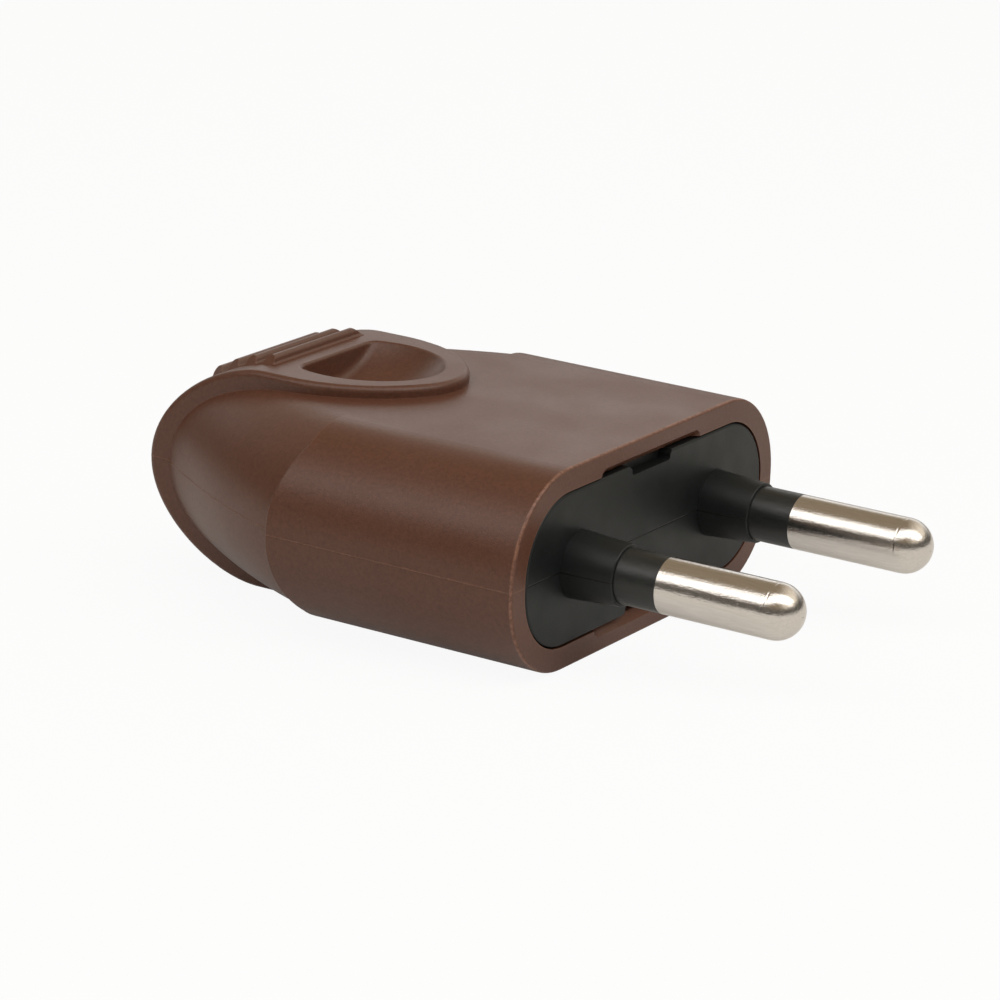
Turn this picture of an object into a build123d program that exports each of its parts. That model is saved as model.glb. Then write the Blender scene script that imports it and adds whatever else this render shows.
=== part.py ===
from build123d import *
import os
from math import cos, pi, sin, sqrt

# Two-pin plug that is wired by hand: a slip-on cover, a contact holder in two halves, and sleeved pins.
# Millimetres. The origin is the centre of the engagement face, +X along the pins, +Y across them, +Z up.

# Pins: standard round pins with an insulating sleeve, held by a turned terminal head
pin_spacing = 18.6
pin_diameter = 4.0
pin_reach = 17.6
pin_neck_diameter = 2.5
sleeve_reach = 7.2
sleeve_seat_diameter = 3.5
terminal_diameter = 5.6
terminal_length = 9.5
terminal_edge = 0.4
wire_bore_diameter = 2.5
wire_bore_depth = 7.5
terminal_screw_setback = 3.9

# Front block of the cover: a bar with round sides and a curved shoulder at its rear
cover_width = 35.7
cover_height = 14.6
side_flat = 0.7
wall = 1.7
block_length = 20.45
shoulder_depth = 1.45
shoulder_radius = 14.0
shoulder_edge = 0.15
mouth_edge = 0.2

# Neck behind the shoulder, tapering in plan with a slight bulge and thinning towards the rear
overall_length = 38.15
neck_inset = 0.31
neck_rear_inset = 0.38
neck_bulge = 1.0
neck_thinning = 0.95
neck_sections = 4
nose_cover = 1.4
neck_burial = 0.6

# Strap: grip pads above and below, joined round the rear nose
strap_width = 15.6
pad_height = 0.86
pad_tip_setback = 16.4
pad_tip_radius = 5.2
pad_parallel_setback = 26.0
nose_setback = 28.2
nose_shoulder = 4.3
nose_tip = 4.35
strap_edge = 0.45

# Thumb dish in each pad: a turned form with a flat rear wall
dish_rear_setback = 27.1
dish_front_setback = 18.3
dish_width = 9.6
dish_depth = 2.05
dish_deepest = 2.65
dish_corner = 0.7
dish_edge = 0.25

# Cross ribs behind the dish
rib_count = 4
rib_first_run = 1.0
rib_pitch = 1.6
rib_height = 0.62
rib_crest_radius = 0.45
rib_foot_radius = 0.25
rib_length = 11.4
rib_crest_length = 9.9
rib_root = 0.5

# Inside of the cover, and the round cord inlet in its nose
pocket_depth = 17.0
cavity_front_width = 28.4
cavity_rear_width = 16.4
cavity_edge = 2.0
cavity_overlap = 2.0
inlet_wall = 5.0
inlet_diameter = 7.0
inlet_edge = 0.5

# Mouth relief in the cover and lever notch in the insert, above and below
relief_width = 13.6
relief_depth = 0.57
relief_slope = 45
relief_corner = 0.8
notch_width = 5.2
notch_depth = 0.7
notch_reach = 1.0
notch_flare = 0.3
notch_corner = 0.25

# Snap catches that hold the insert in the cover
catch_setback = 7.0
catch_length = 2.6
catch_width = 5.6
catch_height = 0.55
catch_ramp = 0.4

# Insert: two half shells that meet on the pin plane
insert_gap = 0.1
insert_end_gap = 0.4
insert_wall = 1.5
insert_front = 3.0
insert_edge = 0.2
collar_reach = 4.0
collar_end_diameter = 4.4
collar_base_diameter = 4.9
collar_edge = 0.12
cradle_wall = 1.3
dowel_setback = 6.5
dowel_spacing = 5.2
dowel_diameter = 1.6
dowel_height = 1.2
dowel_boss_diameter = 3.4

# Cord cradle on the lower half, its saddle and the screws
cradle_front_setback = 13.2
cradle_rear_setback = 31.4
cradle_width = 14.8
cradle_edge = 1.0
cord_diameter = 6.2
grip_rib_height = 0.35
grip_rib_length = 0.9
grip_rib_spacing = 2.4
clamp_setback = 25.0
clamp_length = 4.4
clamp_thickness = 1.1
clamp_ear = 1.4
clamp_screw_spacing = 12.0
screw_diameter = 2.1
screw_depth = 3.2
screw_head_diameter = 3.8
screw_head_height = 1.2
slot_width = 0.5
slot_depth = 0.5
terminal_thread_diameter = 3.0
terminal_head_diameter = 4.0
terminal_head_height = 1.3

# Working clearances: moulded and turned fits, and the room round screws
fit_gap = 0.05
screw_gap = 0.1
well_gap = 0.3
seat_gap = 0.2

# Values worked out from the sizes above
half_width = cover_width / 2
half_height = cover_height / 2
pad_z = half_height + pad_height
neck_front = block_length - shoulder_depth
neck_rear = overall_length - nose_cover
pin_places = {"left": pin_spacing / 2, "right": -pin_spacing / 2}
dowel_places = (dowel_spacing / 2, -dowel_spacing / 2)
clamp_screw_places = (clamp_screw_spacing / 2, -clamp_screw_spacing / 2)
pin_radius = pin_diameter / 2
terminal_front = insert_front + fit_gap
terminal_rear = terminal_front + terminal_length
terminal_screw_x = -(terminal_front + terminal_length - terminal_screw_setback)
pocket_width = cover_width - 2 * wall
pocket_height = cover_height - 2 * wall
insert_width = pocket_width - 2 * insert_gap
insert_height = pocket_height - 2 * insert_gap
insert_depth = pocket_depth - insert_end_gap
cord_radius = cord_diameter / 2
cradle_depth = cord_radius + clamp_thickness
cavity_height = 2 * (cradle_depth + seat_gap)
cavity_rear = overall_length - inlet_wall


def bar_section(width, height):
    """Cross-section with round sides that keep a narrow flat at half height."""
    return RectangleRounded(width, height, (height - side_flat) / 2)


def bar(x_start, x_end, width, height):
    """Bar along X with round sides."""
    return extrude(Plane.YZ.offset(x_start) * bar_section(width, height), x_end - x_start)


def block(x_low, x_high, y_low, y_high, z_low, z_high):
    """Straight-sided piece between two corners."""
    size = (x_high - x_low, y_high - y_low, z_high - z_low)
    centre = ((x_high + x_low) / 2, (y_high + y_low) / 2, (z_high + z_low) / 2)
    return Pos(*centre) * Box(*size)


def rod(x_start, x_end, radius, y=0.0):
    """Round rod along X on the pin plane."""
    return extrude(Plane.YZ.offset(x_start) * Pos(y, 0) * Circle(radius), x_end - x_start)


def post(x, y, z_start, z_end, radius):
    """Round post along Z."""
    return extrude(Plane.XY.offset(z_start) * Pos(x, y) * Circle(radius), z_end - z_start)


def above_and_below(piece):
    """A feature of the upper side and its mirror image on the lower side."""
    return piece + mirror(piece, about=Plane.XY)


def front_block():
    """Front block with a rounded mouth edge and the curved shoulder at the rear of its sides."""
    body = bar(-neck_front, 0, cover_width, cover_height)
    body = fillet(body.faces().sort_by(Axis.X)[-1].edges(), mouth_edge)
    rise = half_height + pad_height
    end_x = shoulder_radius - block_length - sqrt(shoulder_radius ** 2 - rise ** 2)
    edge = ThreePointArc((end_x, rise), (-block_length, 0), (end_x, -rise))
    side = make_face(edge + Polyline((end_x, -rise), (0, -rise), (0, rise), (end_x, rise)))
    shoulder = extrude(Plane.XZ * side, cover_width, both=True)
    shoulder &= bar(-block_length - pad_height, 0, cover_width, cover_height)
    shoulder = fillet(shoulder.faces().sort_by(Axis.X)[0].edges(), shoulder_edge)
    rear = block(-block_length, -neck_front, -half_width, half_width, -half_height, half_height)
    return body + (shoulder & rear)


def nose_curve(inset):
    """Upper half of the rounded rear in side view, from the flat pad to the tip of the nose."""
    top = pad_z - inset
    rear_x = -overall_length + inset
    return Bezier((-nose_setback, top), (-nose_setback - nose_shoulder, top), (rear_x, nose_tip), (rear_x, 0))


def side_view(inset):
    """Side view of the strap, drawn in by an inset and carried across the whole plug."""
    top = pad_z - inset
    tip_x = -pad_tip_setback + pad_height
    nose = nose_curve(inset)
    side = Line((tip_x, top), (-nose_setback, top)) + nose + mirror(nose, about=Plane.XZ)
    side += Polyline((-nose_setback, -top), (tip_x, -top), (tip_x, top))
    return extrude(Plane.XZ * make_face(side), cover_width, both=True)


def neck():
    """Neck lofted through full-round sections that narrow and thin, and end inside the strap."""
    front_width = cover_width - 2 * neck_inset
    rear_width = strap_width - 2 * neck_rear_inset
    sections = []
    for step in range(neck_sections):
        share = step / (neck_sections - 1)
        x = -neck_front + share * (neck_front - neck_rear)
        swell = 1 - (2 * share - 1) ** 2
        width = front_width + share * (rear_width - front_width) + 2 * neck_bulge * swell
        height = cover_height - 2 * neck_thinning * share ** 2
        sections.append(Plane.YZ.offset(x) * SlotOverall(width, height))
    return loft(sections) & side_view(neck_burial)


def strap_outline():
    """Plan of the strap: parallel sides that close in tangent arcs to a rounded tip."""
    half = strap_width / 2
    tip_x = -pad_tip_setback - pad_tip_radius
    side_x = -pad_parallel_setback
    run = tip_x - side_x
    side_radius = (run ** 2 + half ** 2 - pad_tip_radius ** 2) / (2 * (half - pad_tip_radius))
    lift = side_radius - half
    reach = side_radius / sqrt(run ** 2 + lift ** 2)
    meet = (side_x + run * reach, -lift + lift * reach)
    bend = Vector(meet[0] - side_x, meet[1] + lift) + Vector(0, side_radius)
    middle = bend.normalized() * side_radius
    flank = (side_x + middle.X, middle.Y - lift)
    rear_x = -overall_length - pad_height
    upper = Line((rear_x, half), (side_x, half)) + ThreePointArc((side_x, half), flank, meet)
    tip = ThreePointArc(meet, (-pad_tip_setback, 0), (meet[0], -meet[1]))
    return make_face(upper + tip + mirror(upper, about=Plane.XZ) + Line((rear_x, -half), (rear_x, half)))


def strap():
    """Strap solid: the plan outline cut to the rounded side view, with soft outer edges."""
    body = side_view(0) & extrude(strap_outline(), pad_z + pad_height, both=True)
    rim = body.edges().filter_by(Axis.Z, reverse=True).filter_by(Axis.Y, reverse=True)
    return fillet(rim, strap_edge)


def dish():
    """Thumb dish: an arc turned about an axis above the pad, closed by a flat rear wall."""
    radius = ((dish_width / 2) ** 2 + dish_depth ** 2) / (2 * dish_depth)
    axis_z = pad_z - dish_depth + radius
    lift = radius - dish_depth
    rear_x = -dish_rear_setback
    front_run = dish_rear_setback - dish_front_setback - dish_deepest
    centre_x = rear_x + dish_deepest
    offset = (dish_deepest ** 2 + radius ** 2 - front_run ** 2 - lift ** 2) / (2 * dish_depth)
    sweep = sqrt(dish_deepest ** 2 + (radius - offset) ** 2)
    exit_lift = lift - pad_height
    exit_x = centre_x + sqrt(sweep ** 2 - (exit_lift - offset) ** 2)
    floor = ThreePointArc(
        (rear_x, axis_z - radius), (centre_x, axis_z - offset - sweep), (exit_x, axis_z - exit_lift)
    )
    closing = Polyline(
        (exit_x, axis_z - exit_lift), (exit_x, axis_z), (rear_x, axis_z), (rear_x, axis_z - radius)
    )
    section = make_face(floor + closing)
    rear_foot = section.vertices().sort_by_distance((rear_x, axis_z - radius))[0]
    section = fillet(rear_foot, dish_corner)
    return revolve(Plane.XZ * section, Axis((0, 0, axis_z), (1, 0, 0)))


def ribs():
    """Cross ribs with round crests and sloped ends, stepped by their pitch along the nose."""
    radii = rib_crest_radius + rib_foot_radius
    foot = sqrt(2 * radii * rib_height - rib_height ** 2)
    share = rib_crest_radius / radii
    join = (foot * share, (rib_height - rib_crest_radius) * (1 - share) + rib_foot_radius * share)
    flank = TangentArc((foot, 0), join, tangent=(-1, 0))
    crest = ThreePointArc(join, (0, rib_height), (-join[0], join[1]))
    root = Polyline((-foot, 0), (-foot, -rib_root), (foot, -rib_root), (foot, 0))
    section = make_face(flank + crest + mirror(flank, about=Plane.YZ) + root)
    end = rib_length / 2
    crest_end = rib_crest_length / 2
    length_view = make_face(Polyline(
        (-end, -rib_root), (end, -rib_root), (end, 0), (crest_end, rib_height),
        (-crest_end, rib_height), (-end, 0), (-end, -rib_root),
    ))
    nose = nose_curve(0)
    solids = []
    for step in range(rib_count):
        run = rib_first_run + step * rib_pitch
        point = nose.position_at(run, PositionMode.LENGTH)
        back = nose.tangent_at(run, PositionMode.LENGTH)
        place = (point.X, 0, point.Y)
        along = (-back.X, 0, -back.Y)
        rib = extrude(Plane(place, x_dir=along, z_dir=(0, -1, 0)) * section, end, both=True)
        ends = extrude(Plane(place, x_dir=(0, 1, 0), z_dir=along) * length_view, foot, both=True)
        solids.append(rib & ends)
    return solids


def cover_inside():
    """Pocket for the insert, the tapering room behind it, and the cord inlet."""
    pocket = bar(-pocket_depth, mouth_edge, pocket_width, pocket_height)
    front = Plane.YZ.offset(-pocket_depth + cavity_overlap) * RectangleRounded(
        cavity_front_width, cavity_height, cavity_edge)
    rear = Plane.YZ.offset(-cavity_rear) * RectangleRounded(cavity_rear_width, cavity_height, cavity_edge)
    inlet = rod(-overall_length - pad_height, -cavity_rear + cavity_overlap, inlet_diameter / 2)
    mouth = Plane((0, 0, pocket_height / 2 - relief_depth), x_dir=(0, 1, 0), z_dir=(-1, 0, 0))
    relief = extrude(mouth * RectangleRounded(relief_width, 4 * relief_depth, relief_corner),
                     relief_depth, taper=relief_slope)
    return pocket + loft([front, rear]) + inlet + above_and_below(relief)


def lever_notch():
    """Notch for a screwdriver in the front edge of the upper half, flared at its mouth."""
    side = notch_width / 2
    outer = side + notch_flare
    section = make_face(Polyline(
        (-outer, notch_depth), (-outer, 0), (-side, -notch_flare), (-side, -notch_depth),
        (side, -notch_depth), (side, -notch_flare), (outer, 0), (outer, notch_depth), (-outer, notch_depth),
    ))
    section = fillet(section.vertices().group_by(Axis.Y)[0], notch_corner)
    rear = Plane.YZ.offset(-notch_reach) * Pos(0, insert_height / 2) * section
    return extrude(rear, notch_reach + mouth_edge)


def catch(gap):
    """Wedge of a snap catch; with a gap, the recess that it drops into."""
    half = catch_length / 2 + gap
    low = pocket_height / 2 - catch_height - gap
    high = pocket_height / 2 + wall / 2
    side = catch_width / 2 + gap
    wedge = block(-catch_setback - half, -catch_setback + half, -side, side, low, high)
    ramp = wedge.edges().filter_by(Axis.Y).group_by(Axis.Z)[0].sort_by(Axis.X)[-1]
    return chamfer(ramp, catch_ramp)


def cover():
    """The slip-on cover, moulded in one piece."""
    body = front_block() + neck() + strap()
    body -= above_and_below(dish())
    reach = dish_width / 2 + dish_edge
    rim = body.edges().filter_by_position(Axis.X, -dish_rear_setback - dish_edge, -dish_front_setback)
    rim = rim.filter_by_position(Axis.Y, -reach, reach)
    body = fillet([edge for edge in rim if abs(abs(edge.center().Z) - pad_z) < fit_gap], dish_edge)
    for rib in ribs():
        body += above_and_below(rib)
    body -= cover_inside()
    body += above_and_below(catch(0))
    inlet_rim = body.edges().filter_by_position(Axis.X, -overall_length, -cavity_rear - inlet_edge)
    inlet_rim = inlet_rim.filter_by_position(Axis.Y, -inlet_diameter / 2, inlet_diameter / 2)
    inlet_rim = [edge for edge in inlet_rim if abs(edge.center().Z) < inlet_diameter / 2 + fit_gap]
    return fillet(inlet_rim, inlet_edge)


def insert_half(upper):
    """One half of the contact holder, made as the upper half and mirrored for the lower one."""
    half_bar = block(-insert_depth, collar_reach, -half_width, half_width, 0, half_height)
    shell = bar(-insert_depth, 0, insert_width, insert_height)
    shell = fillet(shell.faces().sort_by(Axis.X)[-1].edges(), insert_edge)
    room = bar(-insert_depth, -insert_front, insert_width - 2 * insert_wall, insert_height - 2 * insert_wall)
    shell -= room
    cradle_half = terminal_diameter / 2 + fit_gap + cradle_wall
    for y in pin_places.values():
        collar = Plane((0, y, 0), z_dir=(1, 0, 0)) * Cone(
            collar_base_diameter / 2, collar_end_diameter / 2, collar_reach,
            align=(Align.CENTER, Align.CENTER, Align.MIN))
        collar = fillet(collar.edges().filter_by(GeomType.CIRCLE).sort_by(Axis.X)[-1], collar_edge)
        cradle = block(-terminal_rear, -insert_front, y - cradle_half, y + cradle_half,
                       -insert_height / 2, insert_height / 2)
        shell += collar
        shell += cradle & bar(-terminal_rear, -insert_front, insert_width, insert_height)
    for y in dowel_places:
        shell += post(-dowel_setback, y, -insert_height / 2 + insert_wall / 2,
                      insert_height / 2 - insert_wall / 2, dowel_boss_diameter / 2)
    half = shell & half_bar
    for y in pin_places.values():
        half -= rod(-insert_front - fit_gap, collar_reach + fit_gap, sleeve_seat_diameter / 2 + fit_gap, y)
        half -= rod(-terminal_rear - fit_gap, -insert_front, terminal_diameter / 2 + fit_gap, y)
    half -= lever_notch()
    half -= catch(fit_gap + insert_gap)
    if upper:
        for y in pin_places.values():
            half -= post(terminal_screw_x, y, 0, terminal_diameter / 2 + terminal_head_height + 2 * well_gap,
                         terminal_head_diameter / 2 + well_gap)
        for y in dowel_places:
            half -= post(-dowel_setback, y, 0, dowel_height + well_gap, dowel_diameter / 2 + fit_gap)
        return half
    half = mirror(half, about=Plane.XY)
    for y in dowel_places:
        half += post(-dowel_setback, y, -dowel_height, dowel_height, dowel_diameter / 2)
    return half + cord_cradle()


def cord_cradle():
    """Rear tongue of the lower half: a half-round bed for the cord, with grip ribs and screw holes."""
    side = cradle_width / 2
    cradle = block(-cradle_rear_setback, -cradle_front_setback, -side, side, -cradle_depth, 0)
    cradle = fillet(cradle.edges().filter_by(Axis.X).group_by(Axis.Z)[0], cradle_edge)
    floor_z = -insert_height / 2 + insert_wall / 2
    cradle += block(-insert_depth, -cradle_front_setback, -side, side, floor_z, 0)
    cradle -= rod(-cradle_rear_setback, -cradle_front_setback, cord_radius)
    for x in (-clamp_setback - grip_rib_spacing / 2, -clamp_setback + grip_rib_spacing / 2):
        ring = rod(x - grip_rib_length / 2, x + grip_rib_length / 2, cord_radius + grip_rib_height)
        ring -= rod(x - grip_rib_length / 2, x + grip_rib_length / 2, cord_radius - grip_rib_height)
        cradle += ring & block(x - grip_rib_length, x + grip_rib_length, -cord_diameter, cord_diameter,
                               -cradle_depth, 0)
    for y in clamp_screw_places:
        cradle -= post(-clamp_setback, y, -screw_depth - well_gap, 0, screw_diameter / 2 + fit_gap)
    return cradle


def cord_clamp():
    """Saddle over the cord: an arch with an ear on each side."""
    low, high = -clamp_setback - clamp_length / 2, -clamp_setback + clamp_length / 2
    arch_radius = cord_radius + clamp_thickness
    ears = block(low, high, -cradle_width / 2, cradle_width / 2, 0, clamp_ear)
    arch = rod(low, high, arch_radius) & block(low, high, -arch_radius, arch_radius, 0, arch_radius)
    saddle = ears + arch - rod(low, high, cord_radius)
    rib_low, rib_high = -clamp_setback - grip_rib_length / 2, -clamp_setback + grip_rib_length / 2
    rib = rod(rib_low, rib_high, cord_radius) - rod(low, high, cord_radius - grip_rib_height)
    saddle += rib & block(low, high, -cord_radius, cord_radius, cord_radius / 2, cord_radius)
    for y in clamp_screw_places:
        saddle -= post(-clamp_setback, y, 0, clamp_ear, screw_diameter / 2 + screw_gap)
    return saddle


def slotted_screw(x, y, seat_z, tip_z, shank_diameter, head_diameter, head_height):
    """Cheese-head screw with its seat and tip heights on Z."""
    screw = post(x, y, seat_z, seat_z + head_height, head_diameter / 2)
    screw = fillet(screw.faces().sort_by(Axis.Z)[-1].edges(), slot_depth / 2)
    screw += post(x, y, tip_z, seat_z, shank_diameter / 2)
    top = seat_z + head_height
    return screw - block(x - slot_width / 2, x + slot_width / 2, y - head_diameter, y + head_diameter,
                         top - slot_depth, top + slot_depth)


def clamp_screws():
    """The two screws of the cord saddle."""
    return Compound(children=[
        slotted_screw(-clamp_setback, y, clamp_ear, -screw_depth, screw_diameter, screw_head_diameter,
                      screw_head_height)
        for y in clamp_screw_places
    ])


def terminal_screws():
    """The two wire screws, one in each terminal head."""
    return Compound(children=[
        slotted_screw(terminal_screw_x, y, terminal_diameter / 2 + fit_gap, wire_bore_diameter / 4,
                      terminal_thread_diameter, terminal_head_diameter, terminal_head_height)
        for y in pin_places.values()
    ])


def pin(y):
    """Contact pin turned in one piece: domed tip, necked shank under the sleeve, and bored terminal head."""
    neck_radius = pin_neck_diameter / 2
    head_radius = terminal_diameter / 2
    dome_x = pin_reach - pin_radius
    rim = dome_x + pin_radius * cos(pi / 4), pin_radius * sin(pi / 4)
    outline = ThreePointArc((pin_reach, 0), rim, (dome_x, pin_radius))
    outline += Polyline(
        (dome_x, pin_radius), (sleeve_reach, pin_radius), (sleeve_reach, neck_radius),
        (-terminal_front, neck_radius), (-terminal_front, head_radius - terminal_edge),
        (-terminal_front - terminal_edge, head_radius), (-terminal_rear + terminal_edge, head_radius),
        (-terminal_rear, head_radius - terminal_edge), (-terminal_rear, 0), (pin_reach, 0),
    )
    body = Pos(0, y, 0) * revolve(Plane.XY * make_face(outline), Axis.X)
    body -= rod(-terminal_rear, -terminal_rear + wire_bore_depth, wire_bore_diameter / 2, y)
    return body - post(terminal_screw_x, y, 0, terminal_diameter, terminal_thread_diameter / 2 + fit_gap)


def sleeve(y):
    """Insulating sleeve, stepped where it runs inside the collar."""
    body = rod(collar_reach, sleeve_reach, pin_radius, y)
    body += rod(-terminal_front, collar_reach, sleeve_seat_diameter / 2, y)
    return body - rod(-terminal_front, sleeve_reach, pin_neck_diameter / 2 + fit_gap / 2, y)


pieces = {
    "cover": cover(),
    "insert_upper": insert_half(True),
    "insert_lower": insert_half(False),
    "terminal_screws": terminal_screws(),
    "cord_clamp": cord_clamp(),
    "clamp_screws": clamp_screws(),
}
for side_name, side_y in pin_places.items():
    pieces["pin_" + side_name] = pin(side_y)
    pieces["sleeve_" + side_name] = sleeve(side_y)

os.makedirs("parts", exist_ok=True)
for name, shape in pieces.items():
    export_step(shape, f"parts/{name}.step")
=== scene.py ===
import math

import bpy
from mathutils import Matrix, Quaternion, Vector, noise


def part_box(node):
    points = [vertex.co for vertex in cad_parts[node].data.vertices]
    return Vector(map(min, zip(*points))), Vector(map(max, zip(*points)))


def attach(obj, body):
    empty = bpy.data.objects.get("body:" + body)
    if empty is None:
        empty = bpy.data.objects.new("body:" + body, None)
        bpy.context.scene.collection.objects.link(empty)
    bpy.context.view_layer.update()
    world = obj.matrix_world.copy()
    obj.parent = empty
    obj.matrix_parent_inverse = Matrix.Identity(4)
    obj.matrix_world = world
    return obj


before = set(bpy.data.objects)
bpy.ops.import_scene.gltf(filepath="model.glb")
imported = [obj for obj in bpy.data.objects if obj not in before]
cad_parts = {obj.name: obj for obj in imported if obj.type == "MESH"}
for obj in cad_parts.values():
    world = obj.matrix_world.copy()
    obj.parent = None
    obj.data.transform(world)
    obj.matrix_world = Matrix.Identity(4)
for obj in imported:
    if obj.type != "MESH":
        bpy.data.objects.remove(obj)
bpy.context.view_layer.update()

# Contact pins
# Two brass rods, turned to a dome at the tip and a bored terminal head at the back, then nickel plated.
# Each drops into the lower half of the holder, and its head keeps it from pulling out.

MM = 0.001


def srgb(code):
    """A colour written as sRGB hex, such as #5D4031, as linear values with full alpha."""
    values = [int(code[place:place + 2], 16) / 255 for place in (1, 3, 5)]
    return [v / 12.92 if v <= 0.04045 else ((v + 0.055) / 1.055) ** 2.4 for v in values] + [1.0]


def per_metre(size_mm):
    """How many grains, streaks or waves of that size go into a metre: the scale of a pattern."""
    return 1.0 / (size_mm * MM)


def add_node(tree, kind, inputs=None, **options):
    """Adds a node, sets its options, and gives its inputs their values or links them to other outputs."""
    made = tree.nodes.new(kind)
    for option, value in options.items():
        setattr(made, option, value)
    for socket, value in (inputs or {}).items():
        if isinstance(value, bpy.types.NodeSocket):
            tree.links.new(value, made.inputs[socket])
        else:
            made.inputs[socket].default_value = value
    return made


def new_material(name):
    """An empty node material and its tree."""
    material = bpy.data.materials.new(name)
    material.use_nodes = True
    material.node_tree.nodes.clear()
    return material, material.node_tree


def dress(names, material):
    """Gives the pieces of those names one material."""
    for name in names:
        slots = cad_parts[name].data.materials
        slots.clear()
        slots.append(material)


# Bright nickel over turned brass: a warm white metal that mirrors its surroundings, a little blurred.
# Turning and tumbling leave shallow streaks along the rod, and small pits that break up what it mirrors.
bright_nickel, tree = new_material("bright_nickel")
place = add_node(tree, "ShaderNodeTexCoord")
streak_width, streak_length, streak_depth = 0.14, 1.6, 0.02
pit_size, pit_depth = 0.13, 0.02
drawn_out = add_node(tree, "ShaderNodeMapping", {
    "Vector": place.outputs["Object"],
    "Scale": (streak_width / streak_length, 1.0, 1.0),
})
streaks = add_node(tree, "ShaderNodeTexNoise", {
    "Vector": drawn_out.outputs["Vector"],
    "Scale": per_metre(streak_width),
    "Detail": 4.0,
    "Roughness": 0.7,
})
pits = add_node(tree, "ShaderNodeTexNoise", {
    "Vector": place.outputs["Object"],
    "Scale": per_metre(pit_size),
    "Detail": 2.0,
})
polish = add_node(tree, "ShaderNodeMapRange", {
    "Value": pits.outputs["Fac"],
    "From Min": 0.3,
    "From Max": 0.7,
    "To Min": 0.1,
    "To Max": 0.24,
})
# The tool changes from the rod to the dome at a faint ring.
dome_start, ring_half_width, ring_depth = 15.6, 0.12, 0.03
along_pin = add_node(tree, "ShaderNodeSeparateXYZ", {"Vector": place.outputs["Object"]})
off_ring = add_node(tree, "ShaderNodeMath", {
    0: along_pin.outputs["X"],
    1: dome_start * MM,
}, operation="SUBTRACT")
ring_distance = add_node(tree, "ShaderNodeMath", {0: off_ring.outputs["Value"]}, operation="ABSOLUTE")
ring = add_node(tree, "ShaderNodeMapRange", {
    "Value": ring_distance.outputs["Value"],
    "From Max": ring_half_width * MM,
}, interpolation_type="SMOOTHSTEP")
ring_relief = add_node(tree, "ShaderNodeBump", {
    "Height": ring.outputs["Result"],
    "Strength": 0.6,
    "Distance": ring_depth * MM,
})
streak_relief = add_node(tree, "ShaderNodeBump", {
    "Height": streaks.outputs["Fac"],
    "Normal": ring_relief.outputs["Normal"],
    "Strength": 0.4,
    "Distance": streak_depth * MM,
})
pit_relief = add_node(tree, "ShaderNodeBump", {
    "Height": pits.outputs["Fac"],
    "Normal": streak_relief.outputs["Normal"],
    "Strength": 0.5,
    "Distance": pit_depth * MM,
})
tarnish = add_node(tree, "ShaderNodeMixRGB", {
    "Fac": streaks.outputs["Fac"],
    "Color1": srgb("#E8E3DE"),
    "Color2": srgb("#C9C3BC"),
})
metal = add_node(tree, "ShaderNodeBsdfPrincipled", {
    "Base Color": tarnish.outputs["Color"],
    "Metallic": 1.0,
    "Roughness": polish.outputs["Result"],
    "Normal": pit_relief.outputs["Normal"],
})
add_node(tree, "ShaderNodeOutputMaterial", {"Surface": metal.outputs["BSDF"]})
dress(["pin_left", "pin_right"], bright_nickel)

# Terminal screws and clamp screws
# Small steel screws with slotted heads, zinc plated. Two press the wires in the pins' heads.
# Two hold the cord's saddle down. All four are hidden once the cover is on.

# Zinc-plated steel: a cool grey metal, duller than the pins, with fine clouding from the plating bath.
zinc_plate, tree = new_material("zinc_plate")
place = add_node(tree, "ShaderNodeTexCoord")
cloud_size = 0.4
clouds = add_node(tree, "ShaderNodeTexNoise", {
    "Vector": place.outputs["Object"],
    "Scale": per_metre(cloud_size),
    "Detail": 3.0,
})
cloud_tint = add_node(tree, "ShaderNodeMixRGB", {
    "Fac": clouds.outputs["Fac"],
    "Color1": srgb("#BFC0C0"),
    "Color2": srgb("#A5A6A8"),
})
cloud_gloss = add_node(tree, "ShaderNodeMapRange", {
    "Value": clouds.outputs["Fac"],
    "To Min": 0.25,
    "To Max": 0.45,
})
steel = add_node(tree, "ShaderNodeBsdfPrincipled", {
    "Base Color": cloud_tint.outputs["Color"],
    "Metallic": 1.0,
    "Roughness": cloud_gloss.outputs["Result"],
})
add_node(tree, "ShaderNodeOutputMaterial", {"Surface": steel.outputs["BSDF"]})
dress(["terminal_screws", "clamp_screws"], zinc_plate)

# Pin sleeves
# Thin black tubes moulded round the waist of each pin, flush with the bare metal, so that no live metal
# shows while the plug is half in. Each runs from inside the holder's collar to a clean edge on the pin.

# Black polyamide, moulded: a dark grey sheen, scuffed along its length by the sockets it has been in.
scuffed_polyamide, tree = new_material("scuffed_polyamide")
place = add_node(tree, "ShaderNodeTexCoord")
scuff_width, scuff_length, scuff_depth = 0.2, 0.9, 0.02
speck_size, speck_depth = 0.3, 0.03
along = add_node(tree, "ShaderNodeMapping", {
    "Vector": place.outputs["Object"],
    "Scale": (scuff_width / scuff_length, 1.0, 1.0),
})
scuffs = add_node(tree, "ShaderNodeTexNoise", {
    "Vector": along.outputs["Vector"],
    "Scale": per_metre(scuff_width),
    "Detail": 4.0,
    "Roughness": 0.65,
})
specks = add_node(tree, "ShaderNodeTexNoise", {
    "Vector": place.outputs["Object"],
    "Scale": per_metre(speck_size),
    "Detail": 3.0,
})
scuff_tint = add_node(tree, "ShaderNodeMixRGB", {
    "Fac": scuffs.outputs["Fac"],
    "Color1": srgb("#181A1A"),
    "Color2": srgb("#262928"),
})
scuff_gloss = add_node(tree, "ShaderNodeMapRange", {
    "Value": scuffs.outputs["Fac"],
    "From Min": 0.3,
    "From Max": 0.7,
    "To Min": 0.28,
    "To Max": 0.46,
})
scuff_relief = add_node(tree, "ShaderNodeBump", {
    "Height": scuffs.outputs["Fac"],
    "Strength": 0.4,
    "Distance": scuff_depth * MM,
})
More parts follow.
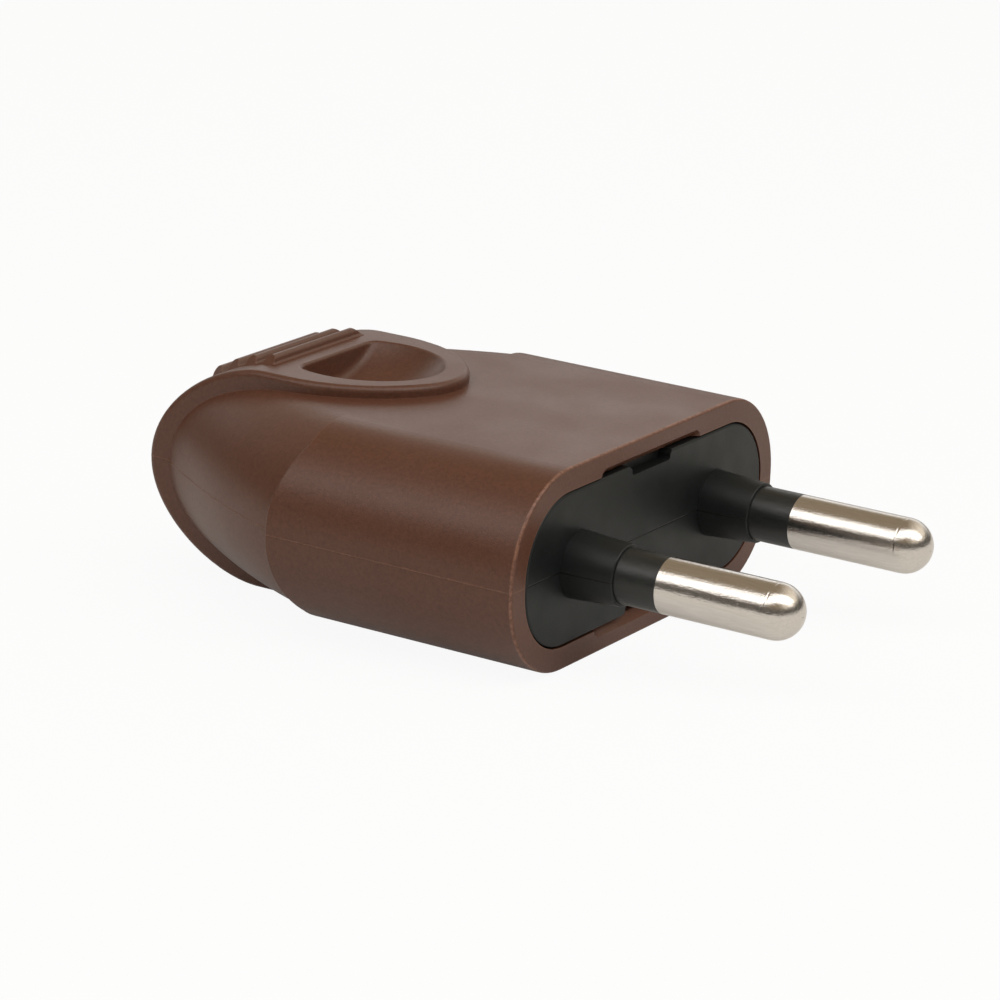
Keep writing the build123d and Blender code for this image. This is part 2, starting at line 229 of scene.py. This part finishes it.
speck_relief = add_node(tree, "ShaderNodeBump", {
    "Height": specks.outputs["Fac"],
    "Normal": scuff_relief.outputs["Normal"],
    "Strength": 0.3,
    "Distance": speck_depth * MM,
})
sleeve = add_node(tree, "ShaderNodeBsdfPrincipled", {
    "Base Color": scuff_tint.outputs["Color"],
    "Roughness": scuff_gloss.outputs["Result"],
    "IOR": 1.53,
    "Normal": speck_relief.outputs["Normal"],
})
add_node(tree, "ShaderNodeOutputMaterial", {"Surface": sleeve.outputs["BSDF"]})
dress(["sleeve_left", "sleeve_right"], scuffed_polyamide)

# Contact holder and cord saddle
# Two black mouldings that close round the pins on their middle plane, each with half of both collars.
# The saddle is a third, screwed down over the cord. The cover's mouth keeps the halves together.

# Black thermoset, moulded against a polished tool: a semi-gloss black that shows a blurred mirror image.
# The halves' edges are a little soft, so the joint shows as a hairline across the face and the collars.
pressed_black, tree = new_material("pressed_black")
place = add_node(tree, "ShaderNodeTexCoord")
flow_size = 2.6
fleck_size, fleck_depth = 0.25, 0.02
flow = add_node(tree, "ShaderNodeTexNoise", {
    "Vector": place.outputs["Object"],
    "Scale": per_metre(flow_size),
    "Detail": 3.0,
})
flecks = add_node(tree, "ShaderNodeTexNoise", {
    "Vector": place.outputs["Object"],
    "Scale": per_metre(fleck_size),
    "Detail": 2.0,
})
joint_half_width, joint_depth = 0.08, 0.04
height = add_node(tree, "ShaderNodeSeparateXYZ", {"Vector": place.outputs["Object"]})
off_joint = add_node(tree, "ShaderNodeMath", {0: height.outputs["Z"]}, operation="ABSOLUTE")
joint_side = add_node(tree, "ShaderNodeMapRange", {
    "Value": off_joint.outputs["Value"],
    "From Max": joint_half_width * MM,
}, interpolation_type="SMOOTHSTEP")
body_tint = add_node(tree, "ShaderNodeMixRGB", {
    "Fac": flow.outputs["Fac"],
    "Color1": srgb("#131718"),
    "Color2": srgb("#181C1C"),
})
joint_tint = add_node(tree, "ShaderNodeMixRGB", {
    "Fac": joint_side.outputs["Result"],
    "Color1": srgb("#050505"),
    "Color2": body_tint.outputs["Color"],
})
flow_gloss = add_node(tree, "ShaderNodeMapRange", {
    "Value": flow.outputs["Fac"],
    "From Min": 0.3,
    "From Max": 0.7,
    "To Min": 0.4,
    "To Max": 0.5,
})
joint_relief = add_node(tree, "ShaderNodeBump", {
    "Height": joint_side.outputs["Result"],
    "Strength": 0.8,
    "Distance": joint_depth * MM,
})
fleck_relief = add_node(tree, "ShaderNodeBump", {
    "Height": flecks.outputs["Fac"],
    "Normal": joint_relief.outputs["Normal"],
    "Strength": 0.2,
    "Distance": fleck_depth * MM,
})
holder = add_node(tree, "ShaderNodeBsdfPrincipled", {
    "Base Color": joint_tint.outputs["Color"],
    "Roughness": flow_gloss.outputs["Result"],
    "IOR": 1.41,
    "Normal": fleck_relief.outputs["Normal"],
})
add_node(tree, "ShaderNodeOutputMaterial", {"Surface": holder.outputs["BSDF"]})
dress(["insert_upper", "insert_lower", "cord_clamp"], pressed_black)

# Cover
# One brown moulding that slips over the holder from behind, with its pads, dish and ribs for the fingers.
# A soft, tough plastic, moulded in two tool halves that meet on the pins' plane.

# Soft PVC from a finely blasted tool: a matt, speckled brown that goes grey where it catches the light.
# Edges are painted paler and redder than the faces: a painted highlight, partly standing for rubbing
# against the tool and the hand.
soft_pvc, tree = new_material("soft_pvc")
place = add_node(tree, "ShaderNodeTexCoord")
# The blasted grain is about 0.05 mm on the real cover, and is drawn coarser so that it shows.
blast_grain, grain_depth = 0.11, 0.02
mottle_size = 0.3
swirl_size, swirl_depth = 7.0, 0.05
grain = add_node(tree, "ShaderNodeTexNoise", {
    "Vector": place.outputs["Object"],
    "Scale": per_metre(blast_grain),
    "Detail": 2.0,
})
mottle = add_node(tree, "ShaderNodeTexNoise", {
    "Vector": place.outputs["Object"],
    "Scale": per_metre(mottle_size),
    "Detail": 4.0,
    "Roughness": 0.85,
})
swirl = add_node(tree, "ShaderNodeTexNoise", {
    "Vector": place.outputs["Object"],
    "Scale": per_metre(swirl_size),
    "Detail": 2.0,
})
brown = add_node(tree, "ShaderNodeMixRGB", {
    "Fac": mottle.outputs["Fac"],
    "Color1": srgb("#3C2117"),
    "Color2": srgb("#734B39"),
})
# An edge is where the normal differs from the one that a rounded edge would have. There the brown gets a
# painted highlight.
highlight_round = 0.3
rounded = add_node(tree, "ShaderNodeBevel", {"Radius": highlight_round * MM}, samples=8)
unrounded = add_node(tree, "ShaderNodeNewGeometry")
likeness = add_node(tree, "ShaderNodeVectorMath", {
    0: rounded.outputs["Normal"],
    1: unrounded.outputs["Normal"],
}, operation="DOT_PRODUCT")
edge = add_node(tree, "ShaderNodeMapRange", {
    "Value": likeness.outputs["Value"],
    "From Min": 0.98,
    "From Max": 0.75,
    "To Max": 0.4,
})
# The round of the mouth's edge and the line where the tool halves meet are painted pale, in specks: a
# painted highlight along the parting flash, and along the mouth a painted highlight that partly stands for
# rubbing.
# Each is full within the first distance from its middle, and gone beyond the second.
mouth_full, mouth_gone, mouth_setback = 0.05, 0.12, 0.12
parting_full, parting_gone, parting_share = 0.03, 0.08, 0.45
spread = add_node(tree, "ShaderNodeSeparateXYZ", {"Vector": place.outputs["Object"]})
from_mouth = add_node(tree, "ShaderNodeMath", {
    0: spread.outputs["X"],
    1: mouth_setback * MM,
}, operation="ADD")
mouth_distance = add_node(tree, "ShaderNodeMath", {0: from_mouth.outputs["Value"]}, operation="ABSOLUTE")
mouth_band = add_node(tree, "ShaderNodeMapRange", {
    "Value": mouth_distance.outputs["Value"],
    "From Min": mouth_gone * MM,
    "From Max": mouth_full * MM,
})
# Only the outer edge of the mouth is painted pale. The block's section is a bar with round sides, so its
# outside is a fixed radius from a flat core, and the length along the pins is made to drop out.
core_half_width, core_half_height, section_radius, edge_round = 10.9, 0.35, 6.95, 0.3
past_any_length = 1.0
one_quarter = add_node(tree, "ShaderNodeVectorMath", {0: place.outputs["Object"]}, operation="ABSOLUTE")
past_core = add_node(tree, "ShaderNodeVectorMath", {
    0: one_quarter.outputs["Vector"],
    1: (past_any_length, core_half_width * MM, core_half_height * MM),
}, operation="SUBTRACT")
off_core = add_node(tree, "ShaderNodeVectorMath", {0: past_core.outputs["Vector"]}, operation="MAXIMUM")
core_distance = add_node(tree, "ShaderNodeVectorMath", {0: off_core.outputs["Vector"]}, operation="LENGTH")
outside = add_node(tree, "ShaderNodeMapRange", {
    "Value": core_distance.outputs["Value"],
    "From Min": (section_radius - edge_round) * MM,
    "From Max": (section_radius - edge_round / 2) * MM,
})
mouth_line = add_node(tree, "ShaderNodeMath", {
    0: mouth_band.outputs["Result"],
    1: outside.outputs["Result"],
}, operation="MULTIPLY")
parting_distance = add_node(tree, "ShaderNodeMath", {0: spread.outputs["Z"]}, operation="ABSOLUTE")
parting_line = add_node(tree, "ShaderNodeMapRange", {
    "Value": parting_distance.outputs["Value"],
    "From Min": parting_gone * MM,
    "From Max": parting_full * MM,
    "To Max": parting_share,
})
lines = add_node(tree, "ShaderNodeMath", {
    0: mouth_line.outputs["Value"],
    1: parting_line.outputs["Result"],
}, operation="MAXIMUM")
line_specks = add_node(tree, "ShaderNodeMapRange", {
    "Value": mottle.outputs["Fac"],
    "From Min": 0.4,
    "From Max": 0.58,
    "To Min": 0.2,
})
line_highlight_and_rubbing = add_node(tree, "ShaderNodeMath", {
    0: lines.outputs["Value"],
    1: line_specks.outputs["Result"],
}, operation="MULTIPLY")
# The pale colour goes on as a painted highlight along the edges, the mouth's round and the parting line,
# partly standing for rubbing.
highlight_and_rubbing = add_node(tree, "ShaderNodeMath", {
    0: edge.outputs["Result"],
    1: line_highlight_and_rubbing.outputs["Value"],
}, operation="MAXIMUM")
brown_with_painted_highlight = add_node(tree, "ShaderNodeMixRGB", {
    "Fac": highlight_and_rubbing.outputs["Value"],
    "Color1": brown.outputs["Color"],
    "Color2": srgb("#8A6250"),
})
matt = add_node(tree, "ShaderNodeMapRange", {
    "Value": swirl.outputs["Fac"],
    "From Min": 0.3,
    "From Max": 0.7,
    "To Min": 0.33,
    "To Max": 0.41,
})
swirl_relief = add_node(tree, "ShaderNodeBump", {
    "Height": swirl.outputs["Fac"],
    "Strength": 0.2,
    "Distance": swirl_depth * MM,
})
grain_relief = add_node(tree, "ShaderNodeBump", {
    "Height": grain.outputs["Fac"],
    "Normal": swirl_relief.outputs["Normal"],
    "Strength": 0.6,
    "Distance": grain_depth * MM,
})
shell = add_node(tree, "ShaderNodeBsdfPrincipled", {
    "Base Color": brown_with_painted_highlight.outputs["Color"],
    "Roughness": matt.outputs["Result"],
    "IOR": 1.46,
    "Normal": grain_relief.outputs["Normal"],
})
add_node(tree, "ShaderNodeOutputMaterial", {"Surface": shell.outputs["BSDF"]})
dress(["cover"], soft_pvc)

# Parting flash
# A hair of brown plastic that the tool halves squeeze out where they meet, on the cover's middle plane.
# It is part of the cover, trimmed low and uneven along its length, and it ends at the mouth and the inlet.
flash_half_width = 0.07 * MM
flash_height = 0.045 * MM
flash_root = 0.05 * MM
flash_wander = 2.0 * MM
flash_mean, flash_sway = 0.7, 0.5
flash_steps = 360
mouth_clearance = 0.22 * MM
inlet_depth, inlet_half_width = 1.5 * MM, 4.2 * MM
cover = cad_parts["cover"]
cover_low, cover_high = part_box("cover")
hub = Vector(((cover_low.x + cover_high.x) / 2, 0.0, 0.0))
reach = cover_high.x - cover_low.x
trace = []
for step in range(flash_steps):
    turn = 2 * math.pi * step / flash_steps
    outward = Vector((math.cos(turn), math.sin(turn), 0.0))
    met, spot, facing, _ = cover.ray_cast(hub + outward * reach, -outward)
    near_mouth = spot.x > cover_high.x - mouth_clearance
    in_inlet = spot.x < cover_low.x + inlet_depth and abs(spot.y) < inlet_half_width
    trace.append(None if not met or near_mouth or in_inlet else (spot.copy(), facing.copy()))
first_gap = next(step for step in range(flash_steps) if trace[step] is None)
runs = [[]]
for step in range(flash_steps):
    mark = trace[(first_gap + step) % flash_steps]
    if mark is None:
        runs.append([])
    else:
        runs[-1].append(mark)
# Each run is a bar of triangular section, closed at both ends.
up = Vector((0.0, 0.0, 1.0))
section_corners = 3
corners, faces = [], []
for run in runs:
    if len(run) < 2:
        continue
    first = len(corners)
    for spot, facing in run:
        unevenness = flash_mean + flash_sway * noise.noise(spot / flash_wander)
        root = spot - facing * flash_root
        crest = spot + facing * flash_height * unevenness
        corners += [root - up * flash_half_width, crest, root + up * flash_half_width]
    last = len(corners) - section_corners
    for here in range(first, last, section_corners):
        beyond = here + section_corners
        for side in range(section_corners):
            next_side = (side + 1) % section_corners
            faces.append((here + side, here + next_side, beyond + next_side, beyond + side))
    faces.append((first + 2, first + 1, first))
    faces.append((last, last + 1, last + 2))
flash_mesh = bpy.data.meshes.new("parting_flash")
flash_mesh.from_pydata(corners, [], faces)
flash_mesh.materials.append(soft_pvc)
flash = bpy.data.objects.new("parting_flash", flash_mesh)
bpy.context.scene.collection.objects.link(flash)
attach(flash, "root")

# Table
# A white sheet. The plug leans on it by the front edge of its cover and the front of its lower pad,
# since its weight is over the stretch between them.
table_size = 4.0
front_rest = Vector((-0.19, 0.0, -7.3)) * MM
pad_rest = Vector((-16.83, 0.0, -8.16)) * MM
lean = math.atan2(front_rest.z - pad_rest.z, front_rest.x - pad_rest.x)
half = table_size / 2
paper_corners = [(-half, -half, 0), (half, -half, 0), (half, half, 0), (-half, half, 0)]
paper_mesh = bpy.data.meshes.new("paper_table")
paper_mesh.from_pydata(paper_corners, [], [(0, 1, 2, 3)])
paper_table = bpy.data.objects.new("paper_table", paper_mesh)
bpy.context.scene.collection.objects.link(paper_table)
paper_table.location = pad_rest
paper_table.rotation_euler.y = -lean

# White paper: its picture is part white light, so that it stays white behind the plug with a faint shadow.
white_paper, tree = new_material("white_paper")
path = add_node(tree, "ShaderNodeLightPath")
seen_share, mirrored_share = 0.93, 0.18
seen = add_node(tree, "ShaderNodeMath", {
    0: path.outputs["Is Camera Ray"],
    1: path.outputs["Is Transmission Ray"],
}, operation="MAXIMUM")
seen_white = add_node(tree, "ShaderNodeMath", {
    0: seen.outputs["Value"],
    1: seen_share,
}, operation="MULTIPLY")
mirrored_white = add_node(tree, "ShaderNodeMath", {
    0: path.outputs["Is Glossy Ray"],
    1: mirrored_share,
}, operation="MULTIPLY")
white_share = add_node(tree, "ShaderNodeMath", {
    0: seen_white.outputs["Value"],
    1: mirrored_white.outputs["Value"],
}, operation="MAXIMUM")
paper = add_node(tree, "ShaderNodeBsdfDiffuse", {"Color": srgb("#E8E8E6")})
white = add_node(tree, "ShaderNodeEmission", {"Color": srgb("#FFFFFF"), "Strength": 1.0})
lit_paper = add_node(tree, "ShaderNodeMixShader", {
    "Fac": white_share.outputs["Value"],
    1: paper.outputs["BSDF"],
    2: white.outputs["Emission"],
})
add_node(tree, "ShaderNodeOutputMaterial", {"Surface": lit_paper.outputs["Shader"]})
paper_mesh.materials.append(white_paper)

# Studio
# A wide soft panel hangs over the plug and towards the camera, a little to the left.
# The room round it has dim walls, a pale wall behind the plug, and a ceiling that is paler on the right.
camera_azimuth = math.radians(32.0)
to_camera = Vector((math.sin(camera_azimuth), -math.cos(camera_azimuth), 0.0))
across = Vector((math.cos(camera_azimuth), math.sin(camera_azimuth), 0.0))
panel_height, panel_forward, panel_left = 0.5, 0.25, 0.1
panel_width, panel_depth = 1.7, 0.4
panel_power = 3.8
panel = bpy.data.lights.new("soft_panel", "AREA")
panel.shape = "RECTANGLE"
panel.size = panel_width
panel.size_y = panel_depth
panel.energy = panel_power
panel_lamp = bpy.data.objects.new("soft_panel", panel)
panel_lamp.location = to_camera * panel_forward - across * panel_left + up * panel_height
panel_lamp.rotation_euler.z = camera_azimuth
bpy.context.scene.collection.objects.link(panel_lamp)

# The room is told by direction: how near to the camera's side, how far to the right, and how high.
room = bpy.data.worlds.new("room")
room.use_nodes = True
bpy.context.scene.world = room
tree = room.node_tree
tree.nodes.clear()
back_middle, back_edge = -1.0, -0.45
skirting_top, pale_from = 0.08, 0.2
right_from, right_full = 0.0, 0.7
wall_top, ceiling_from = 0.34, 0.52
room_strength = 2.0
heading = add_node(tree, "ShaderNodeTexCoord")
towards = add_node(tree, "ShaderNodeVectorMath", {
    0: heading.outputs["Generated"],
    1: to_camera,
}, operation="DOT_PRODUCT")
nearness = add_node(tree, "ShaderNodeMapRange", {
    "Value": towards.outputs["Value"],
    "From Min": back_middle,
    "From Max": back_edge,
}, interpolation_type="SMOOTHSTEP")
rise = add_node(tree, "ShaderNodeSeparateXYZ", {"Vector": heading.outputs["Generated"]})
above_skirting = add_node(tree, "ShaderNodeMapRange", {
    "Value": rise.outputs["Z"],
    "From Min": skirting_top,
    "From Max": pale_from,
}, interpolation_type="SMOOTHSTEP")
back_wall = add_node(tree, "ShaderNodeMixRGB", {
    "Fac": above_skirting.outputs["Result"],
    "Color1": srgb("#4A4742"),
    "Color2": srgb("#D0CFCC"),
})
rightness = add_node(tree, "ShaderNodeVectorMath", {
    0: heading.outputs["Generated"],
    1: across,
}, operation="DOT_PRODUCT")
right_side = add_node(tree, "ShaderNodeMapRange", {
    "Value": rightness.outputs["Value"],
    "From Min": right_from,
    "From Max": right_full,
}, interpolation_type="SMOOTHSTEP")
ceiling = add_node(tree, "ShaderNodeMixRGB", {
    "Fac": right_side.outputs["Result"],
    "Color1": srgb("#6E6353"),
    "Color2": srgb("#BDB4A6"),
})
walls = add_node(tree, "ShaderNodeMixRGB", {
    "Fac": nearness.outputs["Result"],
    "Color1": back_wall.outputs["Color"],
    "Color2": srgb("#4A4743"),
})
overhead = add_node(tree, "ShaderNodeMapRange", {
    "Value": rise.outputs["Z"],
    "From Min": wall_top,
    "From Max": ceiling_from,
}, interpolation_type="SMOOTHSTEP")
surroundings = add_node(tree, "ShaderNodeMixRGB", {
    "Fac": overhead.outputs["Result"],
    "Color1": walls.outputs["Color"],
    "Color2": ceiling.outputs["Color"],
})
glow = add_node(tree, "ShaderNodeBackground", {
    "Color": surroundings.outputs["Color"],
    "Strength": room_strength,
})
add_node(tree, "ShaderNodeOutputWorld", {"Surface": glow.outputs["Background"]})

# Camera
# It stands close above the table, on the side of the plug's mouth, turned a little off level.
# From about 0.3 m away, a long lens takes the whole plug into the middle of a square picture.
camera_elevation = math.radians(17.19)
camera_roll = math.radians(2.5)
camera_place = Vector((141.73, -246.66, 89.87)) * MM
focal_pixels, frame_pixels = 4226.75, 1000
sensor_width = 36.0
nearest_seen = 0.01
camera = bpy.data.cameras.new("camera")
camera.sensor_width = sensor_width
camera.lens = focal_pixels / frame_pixels * camera.sensor_width
camera.clip_start = nearest_seen
camera_stand = bpy.data.objects.new("camera", camera)
backward = to_camera * math.cos(camera_elevation) + up * math.sin(camera_elevation)
camera_stand.rotation_mode = "QUATERNION"
camera_stand.rotation_quaternion = backward.to_track_quat("Z", "Y") @ Quaternion((0, 0, 1), camera_roll)
camera_stand.location = camera_place
bpy.context.scene.collection.objects.link(camera_stand)
bpy.context.scene.camera = camera_stand
bpy.context.scene.view_settings.view_transform = "Standard"
